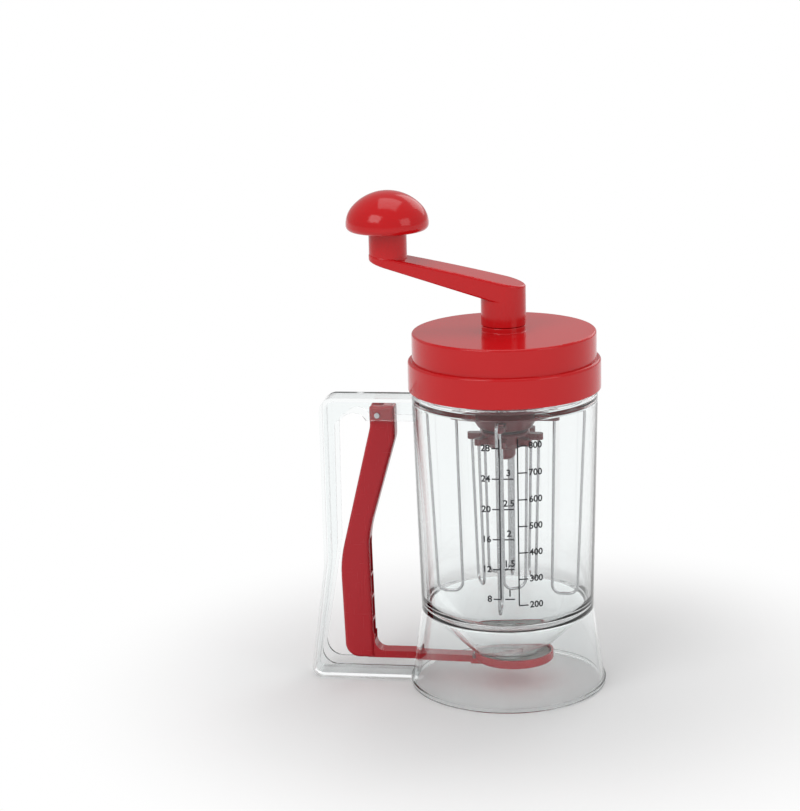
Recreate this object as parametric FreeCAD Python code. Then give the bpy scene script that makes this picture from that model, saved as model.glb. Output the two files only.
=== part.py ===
import FreeCAD, Part
import math
import os

os.makedirs("parts", exist_ok=True)

Vector = FreeCAD.Vector
UP = Vector(0, 0, 1)
ACROSS = Vector(0, 1, 0)

# All sizes are millimetres. Z is the jug's axis, z = 0 is the table, and the handle points to -X.

# Jug, funnel and base
JUG_TOP_R = 50.5
JUG_LOW_R = 47.6
JUG_WALL = 2.2
SHOULDER_Z = 166.0
NECK_STEP = 2.3
NECK_TOP_Z = 180.5
FUNNEL_TOP_Z = 44.0
FUNNEL_LOW_Z = 19.0
FUNNEL_LOW_R = 19.5
SPOUT_R = 8.0
SPOUT_BORE_R = 3.5
SPOUT_LENGTH = 2.1
SKIRT_WALL = 2.0
RIM_R = 54.3
RIM_BEAD = 0.9
RIM_BEAD_HEIGHT = 2.6

# Handle frame, a channel that is open towards the jug
FRAME_WIDTH = 16.0
FRAME_SKIN = 2.4
FRAME_CHEEK = 1.6
FRAME_TOP_Z = 162.0
FRAME_BEAM_LOW_Z = 149.5
FRAME_OUTER_X = 101.5
FRAME_FOOT_X = 111.0
FRAME_BEND_Z = 65.0
FRAME_POST_DEPTH = 8.6
FRAME_FOOT_DEPTH = 5.4
FRAME_FOOT_HEIGHT = 8.0
ARCH_RISE = 4.2
ARCH_NEAR_X = 75.5
ARCH_FAR_X = 89.5

# Dispensing lever
PIVOT_X = 69.4
PIVOT_Z = 152.4
PIVOT_PIN_R = 1.5
LEVER_WIDTH = 12.0
LEVER_WALL = 2.4
LEVER_THICKNESS = 16.6
LEVER_EDGE = 2.4
HEAD_RISE = 4.9
HEAD_BACK = 4.6
HEAD_FRONT = 9.3
LEVER_BEND_X = 92.8
LEVER_BEND_Z = 68.0
FOOT_X = 91.2
ARM_LOW_Z = 11.4
ARM_THICKNESS = 4.0
ARM_WIDTH = 9.0
SLOT_ROOM = 2.5
SPRING_WIRE_R = 0.4
SPRING_COIL_R = 2.2
SPRING_TURNS = 4
SPRING_LENGTH = 5.0
SPRING_LOW_LEG = 4.5
SPRING_HIGH_LEG = 3.6

# Valve at the end of the lever's arm
CUP_R = 21.8
CUP_WALL = 1.5
CUP_FLOOR = 1.6
CUP_REST_X = 3.3
CUP_HOLE_X = 4.7
CUP_SPOUT_WALL = 1.8
CUP_SPOUT_LENGTH = 1.9
SEAL_THICKNESS = 1.5
VALVE_GAP = 0.3

# Lid
LID_R = 52.25
LID_WALL = 1.8
LID_LOW_Z = 167.5
LID_TOP_Z = 184.0
LID_FLOOR = 2.4
GASKET_WIDTH = 4.6
GASKET_GAP = 0.3
DRUM_R = 49.85
DRUM_WALL = 2.0
DRUM_TOP_Z = 199.0
BOSS_R = 12.0
BOSS_RISE = 3.2
BUSH_WALL = 2.9
BUSH_FLANGE = 2.4
BUSH_FLANGE_THICKNESS = 1.5
SCREW_CIRCLE_R = 45.2
SCREW_R = 1.3
SCREW_HEAD_R = 2.4
SCREW_LENGTH = 9.0
SCREW_BOSS_R = 2.9

# Gears
MODULE = 1.5
SUN_TEETH = 15
PLANET_TEETH = 18
PLANETS = 3
PRESSURE_ANGLE = 20.0
ADDENDUM = 0.8
DEDENDUM = 1.1
BACKLASH = 0.3
FLANK_POINTS = 4
GEAR_THICKNESS = 6.2
RING_RIM = 2.1
RING_WEB = 1.8
GEAR_GAP = 0.4
RING_TUBE_R = 13.0
RING_TUBE_LENGTH = 18.0
PLANET_POST_R = 3.0
FIRST_PLANET_ANGLE = 90.0

# Crank and knob
SHAFT_R = 5.0
SHAFT_END_R = 3.0
SHAFT_FLAT = 4.0
HUB_R = 12.15
HUB_LOW_GAP = 0.4
HUB_TOP_Z = 223.5
CRANK_REACH = 62.0
POST_R = 10.3
ARM_END_R = 10.5
POST_TOP_Z = 253.2
ARM_UNDER_HUB_Z = 218.8
ARM_UNDER_POST_Z = 237.2
ARM_TOP_MIDDLE_Z = 232.4
ARM_TOP_POST_Z = 240.4
ARM_EDGE = 1.3
KNOB_R = 22.4
KNOB_HEIGHT = 21.4
KNOB_WALL = 2.4
KNOB_LIP = 3.6
KNOB_SIDE_R = 14.0
KNOB_STEM_R = 6.6
KNOB_PIN_R = 3.0
KNOB_PIN_DEPTH = 14.0
KNOB_PIN_RISE = 14.0
KNOB_SCREW_HEAD_R = 5.2
KNOB_SCREW_HEAD = 2.0

# Whisks
WIRE_R = 0.8
WIRE_BEND_R = 5.0
OUTER_LOOPS = 4
OUTER_WIRE_TOP_R = 43.7
OUTER_WIRE_LOW_R = 39.0
OUTER_WIRE_TOP_Z = 158.0
WHISK_LOW_Z = 50.0
RETURN_WIRE_TOP_R = 27.0
RETURN_WIRE_LOW_R = 25.0
BOWL_R = 23.0
BOWL_LOW_R = 15.0
BOWL_TOP_Z = 163.0
BOWL_LOW_Z = 145.5
BOWL_WALL = 2.4
SLEEVE_WALL = 2.6
TAB_Z = 149.0
TAB_THICKNESS = 3.0
TAB_HALF_WIDTH = 3.2
INNER_LEGS = 8
INNER_WIRE_TOP_R = 18.5
INNER_WIRE_LOW_R = 16.0
INNER_WHISK_LOW_Z = 57.0
STAR_R = 13.6
STAR_LOW_R = 9.0
STAR_TOP_Z = 143.5
STAR_LOW_Z = 134.0
STAR_TAB_Z = 138.0
STAR_TAB_THICKNESS = 3.4
STAR_TAB_HALF_WIDTH = 2.6
NUT_R = 5.6
NUT_HEIGHT = 7.0

# Fits
RUNNING_FIT = 0.06
PART_GAP = 0.4

# Sizes that follow from the ones above
neck_r = JUG_TOP_R - NECK_STEP
spout_low_z = FUNNEL_LOW_Z - SPOUT_LENGTH
lid_floor_z = LID_TOP_Z - LID_FLOOR
drum_ceiling_z = DRUM_TOP_Z - DRUM_WALL
boss_top_z = DRUM_TOP_Z + BOSS_RISE
bush_r = SHAFT_R + RUNNING_FIT + BUSH_WALL
bush_flange_z = drum_ceiling_z - BUSH_FLANGE_THICKNESS
web_low_z = LID_TOP_Z + GEAR_GAP
web_top_z = web_low_z + RING_WEB
gear_low_z = web_top_z + GEAR_GAP
gear_top_z = gear_low_z + GEAR_THICKNESS
ring_teeth = SUN_TEETH + 2 * PLANET_TEETH
planet_circle_r = MODULE * (SUN_TEETH + PLANET_TEETH) / 2
ring_outer_r = MODULE * (ring_teeth / 2 + DEDENDUM) + RING_RIM
tube_low_z = web_low_z - RING_TUBE_LENGTH
hub_low_z = boss_top_z + HUB_LOW_GAP
knob_low_z = POST_TOP_Z + VALVE_GAP
seal_top_z = spout_low_z - VALVE_GAP
cup_floor_z = seal_top_z - SEAL_THICKNESS - CUP_FLOOR
cup_top_z = FUNNEL_LOW_Z - PART_GAP
lever_half = LEVER_WIDTH / 2
channel_half = FRAME_WIDTH / 2 - FRAME_CHEEK


# Building blocks


def outline(corners):
    """A closed wire in the XZ plane through corners (x, z, radius).

    Each corner with a radius is rounded by an arc that is tangent to both of its sides.
    """
    starts = []
    middles = []
    ends = []
    count = len(corners)
    for index in range(count):
        x, z, radius = corners[index]
        here = Vector(x, 0, z)
        before = Vector(corners[index - 1][0], 0, corners[index - 1][1])
        after = Vector(corners[(index + 1) % count][0], 0, corners[(index + 1) % count][1])
        back = (before - here).normalize()
        ahead = (after - here).normalize()
        if radius == 0:
            starts.append(here)
            middles.append(None)
            ends.append(here)
            continue
        half_turn = back.getAngle(ahead) / 2
        reach = radius / math.tan(half_turn)
        towards_centre = (back + ahead).normalize()
        starts.append(here + back * reach)
        middles.append(here + towards_centre * (radius / math.sin(half_turn) - radius))
        ends.append(here + ahead * reach)
    edges = []
    for index in range(count):
        if middles[index] is not None:
            edges.append(Part.Arc(starts[index], middles[index], ends[index]).toShape())
        next_start = starts[(index + 1) % count]
        if ends[index].distanceToPoint(next_start) > 1e-6:
            edges.append(Part.LineSegment(ends[index], next_start).toShape())
    return Part.Wire(edges)


def turned(corners):
    """A solid of revolution round the Z axis from corners (r, z, radius)."""
    return Part.Face(outline(corners)).revolve(Vector(0, 0, 0), UP, 360)


def slab(corners, width):
    """A plate of the given width, centred on y = 0, with its side view from corners (x, z, radius)."""
    face = Part.Face(outline(corners))
    face.translate(Vector(0, -width / 2, 0))
    return face.extrude(Vector(0, width, 0))


def disc(radius, low, high, x=0.0, y=0.0):
    """A cylinder that stands on z = low and ends at z = high."""
    return Part.makeCylinder(radius, high - low, Vector(x, y, low))


def around(shape, degrees):
    """A copy of the shape turned about the Z axis."""
    copy = shape.copy()
    copy.rotate(Vector(0, 0, 0), UP, degrees)
    return copy


def link(big_r, small_r, reach, low, high):
    """An upright plate whose plan is two circles joined by their outer tangents, the second at x = -reach."""
    slope = math.asin((big_r - small_r) / reach)
    tangent = Vector(-math.sin(slope), math.cos(slope), 0)
    edges = []
    big_left = tangent * big_r
    small_left = Vector(-reach, 0, 0) + tangent * small_r
    big_right = Vector(big_left.x, -big_left.y, 0)
    small_right = Vector(small_left.x, -small_left.y, 0)
    edges.append(Part.LineSegment(big_left, small_left).toShape())
    edges.append(Part.Arc(small_left, Vector(-reach - small_r, 0, 0), small_right).toShape())
    edges.append(Part.LineSegment(small_right, big_right).toShape())
    edges.append(Part.Arc(big_right, Vector(big_r, 0, 0), big_left).toShape())
    plate = Part.Face(Part.Wire(edges)).extrude(Vector(0, 0, high - low))
    plate.translate(Vector(0, 0, low))
    return plate


def bent_wire(points, wire_r, bend_r):
    """A round wire along straight runs, with a tangent arc of radius bend_r at each inner point."""
    edges = []
    last = points[0]
    for before, here, after in zip(points, points[1:], points[2:]):
        back = (before - here).normalize()
        ahead = (after - here).normalize()
        half_turn = back.getAngle(ahead) / 2
        reach = bend_r / math.tan(half_turn)
        middle = here + (back + ahead).normalize() * (bend_r / math.sin(half_turn) - bend_r)
        start = here + back * reach
        end = here + ahead * reach
        edges.append(Part.LineSegment(last, start).toShape())
        edges.append(Part.Arc(start, middle, end).toShape())
        last = end
    edges.append(Part.LineSegment(last, points[-1]).toShape())
    path = Part.Wire(edges)
    along = points[1] - points[0]
    section = Part.Wire([Part.makeCircle(wire_r, points[0], along)])
    return path.makePipeShell([section], True, False)


def save(shape, name):
    """Checks the shape and writes it as parts/name.step."""
    if not shape.isValid() or shape.Volume <= 0:
        raise ValueError(name + " is not a valid solid")
    shape.exportStep(os.path.join("parts", name + ".step"))
    print(name, len(shape.Solids), round(shape.Volume, 1))


# Jug with its funnel and outlet


def jug_outside(grow=0.0):
    """The space that the jug and its base fill from outside, used to trim what leans on them."""
    return turned([
        (0, -1, 0),
        (RIM_R + grow, -1, 0),
        (RIM_R + grow, RIM_BEAD_HEIGHT, 0),
        (RIM_R - RIM_BEAD + grow, RIM_BEAD_HEIGHT, 0),
        (JUG_LOW_R + grow, FUNNEL_TOP_Z, 0),
        (JUG_TOP_R + grow, SHOULDER_Z, 0),
        (0, SHOULDER_Z, 0),
    ])


def make_jug_shell():
    seat_r = JUG_LOW_R - SKIRT_WALL
    slope = (FUNNEL_TOP_Z - FUNNEL_LOW_Z) / (seat_r - FUNNEL_LOW_R)
    lift = JUG_WALL * math.hypot(1, slope)
    inner_low_r = JUG_LOW_R - JUG_WALL
    inner_low_z = FUNNEL_TOP_Z + lift + (inner_low_r - seat_r) * slope
    floor_z = FUNNEL_LOW_Z + JUG_WALL
    floor_r = seat_r + (floor_z - FUNNEL_TOP_Z - lift) / slope
    return turned([
        (SPOUT_BORE_R, spout_low_z, 0),
        (SPOUT_R, spout_low_z, 0.5),
        (SPOUT_R, FUNNEL_LOW_Z, 0),
        (FUNNEL_LOW_R, FUNNEL_LOW_Z, 5.0),
        (seat_r, FUNNEL_TOP_Z, 0),
        (JUG_LOW_R, FUNNEL_TOP_Z, 0),
        (JUG_TOP_R, SHOULDER_Z, 0.8),
        (neck_r, SHOULDER_Z, 0),
        (neck_r, NECK_TOP_Z, 0.7),
        (neck_r - JUG_WALL, NECK_TOP_Z, 0.7),
        (neck_r - JUG_WALL, SHOULDER_Z - JUG_WALL, 2.0),
        (JUG_TOP_R - JUG_WALL, SHOULDER_Z - 2.4 * JUG_WALL, 2.0),
        (inner_low_r, inner_low_z, 14.0),
        (floor_r, floor_z, 6.0),
        (SPOUT_BORE_R, floor_z, 0.8),
    ])


def make_base_skirt():
    inner_rim_r = RIM_R - RIM_BEAD - SKIRT_WALL
    skirt = turned([
        (inner_rim_r, 0, 0),
        (RIM_R, 0, 0.6),
        (RIM_R, RIM_BEAD_HEIGHT, 0.6),
        (RIM_R - RIM_BEAD, RIM_BEAD_HEIGHT, 0),
        (JUG_LOW_R, FUNNEL_TOP_Z, 0),
        (JUG_LOW_R - SKIRT_WALL, FUNNEL_TOP_Z, 0),
    ])
    half = ARM_WIDTH / 2 + SLOT_ROOM
    low = FRAME_FOOT_HEIGHT
    high = ARM_LOW_Z + ARM_THICKNESS + SLOT_ROOM
    slot = slab([(-half, low, 0), (half, low, 0), (half, high, 2.0), (-half, high, 2.0)], RIM_R)
    slot.rotate(Vector(0, 0, 0), UP, 90)
    slot.translate(Vector(-RIM_R, 0, 0))
    return skirt.cut(slot)


# Handle frame


def frame_corners(inset):
    """The handle's outer line, drawn in by inset, as far as the jug's axis."""
    return [
        (-JUG_LOW_R + JUG_WALL, FRAME_TOP_Z - inset, 0),
        (-FRAME_OUTER_X + inset, FRAME_TOP_Z - inset, 8.0 - inset),
        (-FRAME_OUTER_X + inset, FRAME_BEND_Z, 60.0),
        (-FRAME_FOOT_X + inset, inset, 6.0 - inset),
        (-JUG_LOW_R + JUG_WALL, inset, 0),
    ]


def make_handle_frame():
    frame = slab(frame_corners(0), FRAME_WIDTH)
    post_x = -FRAME_OUTER_X + FRAME_POST_DEPTH
    foot_x = -FRAME_FOOT_X + FRAME_FOOT_DEPTH
    window = slab([
        (0, FRAME_BEAM_LOW_Z, 0),
        (post_x, FRAME_BEAM_LOW_Z, 3.0),
        (post_x - 0.6, FRAME_BEND_Z + 12, 40.0),
        (foot_x, FRAME_FOOT_HEIGHT, 9.0),
        (0, FRAME_FOOT_HEIGHT, 0),
    ], 2 * FRAME_WIDTH)
    arch_middle = -(ARCH_NEAR_X + ARCH_FAR_X) / 2
    arch_half = (ARCH_FAR_X - ARCH_NEAR_X) / 2
    arch_r = (arch_half ** 2 + ARCH_RISE ** 2) / (2 * ARCH_RISE)
    arch = Part.makeCylinder(
        arch_r,
        2 * FRAME_WIDTH,
        Vector(arch_middle, -FRAME_WIDTH, FRAME_BEAM_LOW_Z + ARCH_RISE - arch_r),
        ACROSS,
    )
    channel = slab(frame_corners(FRAME_SKIN), 2 * channel_half)
    pin_hole = Part.makeCylinder(
        PIVOT_PIN_R, 2 * FRAME_WIDTH, Vector(-PIVOT_X, -FRAME_WIDTH, PIVOT_Z), ACROSS
    )
    frame = frame.cut(window).cut(arch).cut(channel).cut(pin_hole)
    return frame.cut(jug_outside())


# Lever, its pin and its spring


def make_lever():
    head_top = PIVOT_Z + HEAD_RISE
    arm_top = ARM_LOW_Z + ARM_THICKNESS
    cup_side = CUP_REST_X - CUP_R
    body = slab([
        (-PIVOT_X - HEAD_BACK, head_top, 1.5),
        (-PIVOT_X + HEAD_FRONT, head_top, 1.5),
        (-PIVOT_X + HEAD_FRONT, head_top - 18, 12.0),
        (-LEVER_BEND_X + LEVER_THICKNESS, LEVER_BEND_Z + 16, 60.0),
        (-FOOT_X + LEVER_THICKNESS - 0.4, ARM_LOW_Z, 0),
        (-FOOT_X, ARM_LOW_Z, 8.0),
        (-LEVER_BEND_X, LEVER_BEND_Z, 70.0),
        (-PIVOT_X - HEAD_BACK, head_top - 12, 12.0),
    ], LEVER_WIDTH)
    sides = []
    for edge in body.Edges:
        flat = abs(abs(edge.CenterOfMass.y) - lever_half) < 0.01
        outer = edge.CenterOfMass.x < -PIVOT_X - HEAD_BACK - 0.2
        if flat and outer and edge.CenterOfMass.z > ARM_LOW_Z + 0.5:
            sides.append(edge)
    body = body.makeFillet(LEVER_EDGE, sides)
    arm = slab([
        (-FOOT_X + LEVER_THICKNESS - 4, ARM_LOW_Z, 0),
        (-FOOT_X + LEVER_THICKNESS - 4, arm_top + 10, 0),
        (-FOOT_X + LEVER_THICKNESS, arm_top + 10, 0),
        (-FOOT_X + LEVER_THICKNESS, arm_top, 6.0),
        (cup_side - 1.0, arm_top, 0),
        (cup_side - 1.0, ARM_LOW_Z, 0),
    ], ARM_WIDTH)
    tongue = slab([
        (cup_side - 2.0, ARM_LOW_Z - 1.0, 0.5),
        (cup_side - 2.0, cup_floor_z - 0.05, 0),
        (CUP_REST_X - CUP_R / 2, cup_floor_z - 0.05, 0),
        (CUP_REST_X - CUP_R / 2, ARM_LOW_Z - 1.0, 0.5),
    ], ARM_WIDTH)
    lever = body.fuse([arm, tongue]).removeSplitter()
    pocket = slab([
        (-LEVER_BEND_X + LEVER_WALL + 1.0, LEVER_BEND_Z + 8, 0),
        (-LEVER_BEND_X + LEVER_THICKNESS + 20, LEVER_BEND_Z + 20, 0),
        (-LEVER_BEND_X + LEVER_THICKNESS + 20, arm_top + 6, 0),
        (-FOOT_X + LEVER_WALL + 1.0, arm_top + 6, 3.0),
    ], LEVER_WIDTH - 2 * LEVER_WALL)
    rib_count = 3
    rib_span = (LEVER_BEND_Z - arm_top) / (rib_count + 1)
    for number in range(1, rib_count + 1):
        rib_z = arm_top + 4 + number * rib_span
        rib = slab([
            (-LEVER_BEND_X, rib_z, 0),
            (-LEVER_BEND_X + LEVER_THICKNESS + 21, rib_z, 0),
            (-LEVER_BEND_X + LEVER_THICKNESS + 21, rib_z + 1.6, 0),
            (-LEVER_BEND_X, rib_z + 1.6, 0),
        ], LEVER_WIDTH)
        pocket = pocket.cut(rib)
    room_r = SPRING_COIL_R + SPRING_WIRE_R + PART_GAP
    spring_room = slab([
        (-PIVOT_X - HEAD_BACK - 1, PIVOT_Z - room_r, 0),
        (-PIVOT_X - HEAD_BACK - 1, head_top + 1, 0),
        (-PIVOT_X + room_r, head_top + 1, 0),
        (-PIVOT_X + room_r, PIVOT_Z - SPRING_LOW_LEG - 0.2, 0),
        (-PIVOT_X + room_r - 2.5, PIVOT_Z - SPRING_LOW_LEG - 0.2, 0),
        (-PIVOT_X + room_r - 2.5, PIVOT_Z - room_r, 0),
    ], SPRING_LENGTH + 2 * PART_GAP)
    bore = Part.makeCylinder(
        PIVOT_PIN_R + RUNNING_FIT, LEVER_WIDTH + 2, Vector(-PIVOT_X, -lever_half - 1, PIVOT_Z), ACROSS
    )
    cup_room = disc(CUP_R, cup_floor_z - 0.05, cup_top_z + 1, CUP_REST_X)
    lever = lever.cut(pocket).cut(spring_room).cut(bore).cut(cup_room)
    return lever


def make_lever_spring():
    """A torsion spring round the pin: coils along Y, and a leg at each end."""
    coil = Part.makeHelix(
        (SPRING_LENGTH - 2 * SPRING_WIRE_R) / SPRING_TURNS,
        SPRING_LENGTH - 2 * SPRING_WIRE_R,
        SPRING_COIL_R,
    )
    start = Vector(SPRING_COIL_R, 0, 0)
    section = Part.Wire([Part.makeCircle(SPRING_WIRE_R, start, ACROSS)])
    spring = Part.Wire(coil.Edges).makePipeShell([section], True, True)
    low_leg = Part.makeCylinder(SPRING_WIRE_R, SPRING_LOW_LEG, start, ACROSS * -1)
    high_leg = Part.makeCylinder(
        SPRING_WIRE_R, SPRING_HIGH_LEG, Vector(SPRING_COIL_R, 0, SPRING_LENGTH - 2 * SPRING_WIRE_R), ACROSS
    )
    spring = spring.fuse([low_leg, high_leg])
    spring.translate(Vector(0, 0, SPRING_WIRE_R - SPRING_LENGTH / 2))
    spring.rotate(Vector(0, 0, 0), Vector(1, 0, 0), -90)
    spring.translate(Vector(-PIVOT_X, 0, PIVOT_Z))
    return spring


def make_pivot_pin():
    pin = Part.makeCylinder(
        PIVOT_PIN_R, FRAME_WIDTH, Vector(-PIVOT_X, -FRAME_WIDTH / 2, PIVOT_Z), ACROSS
    )
    return pin


# Valve


def make_valve_cup():
    cup = turned([
        (0, cup_floor_z, 0),
        (CUP_R, cup_floor_z, 1.2),
        (CUP_R, cup_top_z, 0.4),
        (CUP_R - CUP_WALL, cup_top_z, 0.4),
        (CUP_R - CUP_WALL, cup_floor_z + CUP_FLOOR, 0),
        (0, cup_floor_z + CUP_FLOOR, 0),
    ])
    drip = disc(SPOUT_BORE_R + CUP_SPOUT_WALL, cup_floor_z - CUP_SPOUT_LENGTH, cup_floor_z, CUP_HOLE_X)
    hole = disc(SPOUT_BORE_R, cup_floor_z - CUP_SPOUT_LENGTH, cup_top_z, CUP_HOLE_X)
    cup = cup.fuse(drip).cut(hole)
    cup.translate(Vector(CUP_REST_X, 0, 0))
    return cup


def make_valve_seal():
    seal = disc(CUP_R - CUP_WALL - 0.1, cup_floor_z + CUP_FLOOR, seal_top_z)
    seal = seal.cut(disc(SPOUT_BORE_R, cup_floor_z, cup_top_z, CUP_HOLE_X))
    seal.translate(Vector(CUP_REST_X, 0, 0))
    return seal


# Lid


def make_lid_base():
    collar_r = RING_TUBE_R + RUNNING_FIT + 2.6
    base = turned([
        (RING_TUBE_R + RUNNING_FIT, LID_TOP_Z, 0),
        (RING_TUBE_R + RUNNING_FIT, lid_floor_z - 4, 0),
        (collar_r, lid_floor_z - 4, 0.6),
        (collar_r, lid_floor_z, 1.0),
        (LID_R - LID_WALL, lid_floor_z, 0),
        (LID_R - LID_WALL, LID_LOW_Z, 0.4),
        (LID_R, LID_LOW_Z, 0.6),
        (LID_R, LID_TOP_Z, 1.4),
    ])
    return base.cut(make_lid_screws())


def make_lid_gasket():
    outer_r = LID_R - LID_WALL - 0.3
    low = NECK_TOP_Z + GASKET_GAP
    return turned([
        (outer_r - GASKET_WIDTH, low, 0.3),
        (outer_r, low, 0.3),
        (outer_r, lid_floor_z, 0),
        (outer_r - GASKET_WIDTH, lid_floor_z, 0),
    ])


def make_lid_screws():
    screw = turned([
        (0, lid_floor_z, 0),
        (SCREW_HEAD_R, lid_floor_z, 0),
        (SCREW_R, lid_floor_z + SCREW_HEAD_R - SCREW_R, 0),
        (SCREW_R, lid_floor_z + SCREW_LENGTH, 0),
        (0, lid_floor_z + SCREW_LENGTH, 0),
    ])
    screw.translate(Vector(SCREW_CIRCLE_R, 0, 0))
    return Part.Compound([around(screw, 45 + 90 * number) for number in range(4)])


def make_gear_cover():
    cover = turned([
        (bush_r, drum_ceiling_z, 0),
        (bush_r, boss_top_z, 0),
        (BOSS_R, boss_top_z, 0.6),
        (BOSS_R, DRUM_TOP_Z, 0.5),
        (DRUM_R, DRUM_TOP_Z, 1.2),
        (DRUM_R, LID_TOP_Z, 0),
        (DRUM_R - DRUM_WALL, LID_TOP_Z, 0),
        (DRUM_R - DRUM_WALL, drum_ceiling_z, 1.5),
    ])
    bosses = []
    for number in range(4):
        bosses.append(around(disc(SCREW_BOSS_R, LID_TOP_Z, drum_ceiling_z, SCREW_CIRCLE_R), 45 + 90 * number))
    for number in range(PLANETS):
        turn = FIRST_PLANET_ANGLE + 360 / PLANETS * number
        shoulder = disc(PLANET_POST_R + 1.6, gear_top_z + GEAR_GAP, drum_ceiling_z, planet_circle_r)
        post = disc(PLANET_POST_R, gear_low_z, drum_ceiling_z, planet_circle_r)
        bosses.append(around(shoulder, turn))
        bosses.append(around(post, turn))
    cover = cover.fuse(bosses).removeSplitter()
    return cover.cut(make_lid_screws())


def make_crank_bush():
    bore_r = SHAFT_R + RUNNING_FIT
    return turned([
        (bore_r, bush_flange_z, 0),
        (bush_r + BUSH_FLANGE, bush_flange_z, 0.3),
        (bush_r + BUSH_FLANGE, drum_ceiling_z, 0),
        (bush_r, drum_ceiling_z, 0),
        (bush_r, boss_top_z, 0),
        (bore_r, boss_top_z, 0),
    ])


# Gears


def involute(angle):
    return math.tan(angle) - angle


def flank_angle(radius, pitch_r, half_width):
    """Half of the angle that a tooth spans at a radius, for an involute flank."""
    pressure = math.radians(PRESSURE_ANGLE)
    base_r = pitch_r * math.cos(pressure)
    here = math.acos(min(1.0, base_r / radius))
    return half_width / pitch_r + involute(pressure) - involute(here)


def toothed_wire(teeth, low_r, high_r, half_width, phase):
    """A closed wire of teeth whose flanks are involutes between low_r and high_r."""
    pitch_r = MODULE * teeth / 2
    points = []
    for tooth in range(teeth):
        centre = phase + 2 * math.pi * tooth / teeth
        for side in (-1, 1):
            steps = range(FLANK_POINTS) if side < 0 else reversed(range(FLANK_POINTS))
            for step in steps:
                radius = low_r + (high_r - low_r) * step / (FLANK_POINTS - 1)
                angle = centre + side * flank_angle(radius, pitch_r, half_width)
                points.append(Vector(radius * math.cos(angle), radius * math.sin(angle), 0))
    points.append(points[0])
    return Part.makePolygon(points)


def toothed_plate(teeth, low_r, high_r, half_width, phase, low, high):
    plate = Part.Face(toothed_wire(teeth, low_r, high_r, half_width, phase)).extrude(UP * (high - low))
    plate.translate(Vector(0, 0, low))
    return plate


tooth_half_width = MODULE * math.pi / 4 - BACKLASH / 4
gap_half_width = MODULE * math.pi / 4 + BACKLASH / 4


def gear_wheel(teeth, bore_r, phase):
    pitch_r = MODULE * teeth / 2
    wheel = toothed_plate(
        teeth,
        pitch_r - DEDENDUM * MODULE,
        pitch_r + ADDENDUM * MODULE,
        tooth_half_width,
        phase,
        gear_low_z,
        gear_top_z,
    )
    return wheel.cut(disc(bore_r, gear_low_z - 1, gear_top_z + 1))


def planet_angle(number):
    return math.radians(FIRST_PLANET_ANGLE) + 2 * math.pi * number / PLANETS


def planet_phase(number):
    """Turns the planet so that its gap faces the sun's tooth, whose first tooth is on +X."""
    angle = planet_angle(number)
    return angle + math.pi - (math.pi - SUN_TEETH * angle) / PLANET_TEETH


def ring_phase():
    """Turns the ring so that its gap holds the first planet's outer tooth."""
    angle = planet_angle(0)
    return angle - PLANET_TEETH * (angle - planet_phase(0)) / ring_teeth


def make_sun_gear():
    return gear_wheel(SUN_TEETH, SHAFT_R, 0)


def make_planet_gear(number):
    planet = gear_wheel(PLANET_TEETH, PLANET_POST_R + RUNNING_FIT, planet_phase(number))
    angle = planet_angle(number)
    planet.translate(Vector(planet_circle_r * math.cos(angle), planet_circle_r * math.sin(angle), 0))
    return planet


def make_ring_gear():
    """An internally toothed ring on a web, with the tube that carries the outer whisk."""
    pitch_r = MODULE * ring_teeth / 2
    bore_r = SHAFT_R + RUNNING_FIT
    ring = turned([
        (bore_r, tube_low_z, 0),
        (RING_TUBE_R, tube_low_z, 0.6),
        (RING_TUBE_R, web_low_z, 0),
        (ring_outer_r, web_low_z, 0.6),
        (ring_outer_r, gear_top_z, 0.6),
        (bore_r, gear_top_z, 0),
    ])
    teeth_space = toothed_plate(
        ring_teeth,
        pitch_r - ADDENDUM * MODULE,
        pitch_r + DEDENDUM * MODULE,
        gap_half_width,
        ring_phase(),
        web_top_z,
        gear_top_z + 1,
    )
    return ring.cut(teeth_space)


# Crank


def make_drive_shaft():
    low_end = STAR_LOW_Z - NUT_HEIGHT + 1.5
    shaft = turned([
        (0, low_end, 0),
        (SHAFT_END_R, low_end, 0.4),
        (SHAFT_END_R, STAR_LOW_Z + 3, 0),
        (SHAFT_R, STAR_LOW_Z + 3, 0),
        (SHAFT_R, HUB_TOP_Z - 6, 0.6),
        (0, HUB_TOP_Z - 6, 0),
    ])
    flat = Part.makeBox(SHAFT_R, 2 * SHAFT_R, HUB_TOP_Z, Vector(SHAFT_FLAT, -SHAFT_R, hub_low_z + 1))
    return shaft.cut(flat)


def arm_side(low_line, width):
    """The arm's side view: a convex top from the hub to the post above the given lower line."""
    right = Vector(HUB_R + 1, 0, HUB_TOP_Z)
    middle = Vector(-CRANK_REACH * 0.4, 0, ARM_TOP_MIDDLE_Z)
    left = Vector(-CRANK_REACH - ARM_END_R - 1, 0, ARM_TOP_POST_Z + 1.5)
    edges = [Part.Arc(right, middle, left).toShape()]
    points = [left] + low_line + [right]
    for start, end in zip(points, points[1:]):
        edges.append(Part.LineSegment(start, end).toShape())
    face = Part.Face(Part.Wire(edges))
    face.translate(Vector(0, -width / 2, 0))
    return face.extrude(Vector(0, width, 0))


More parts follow.
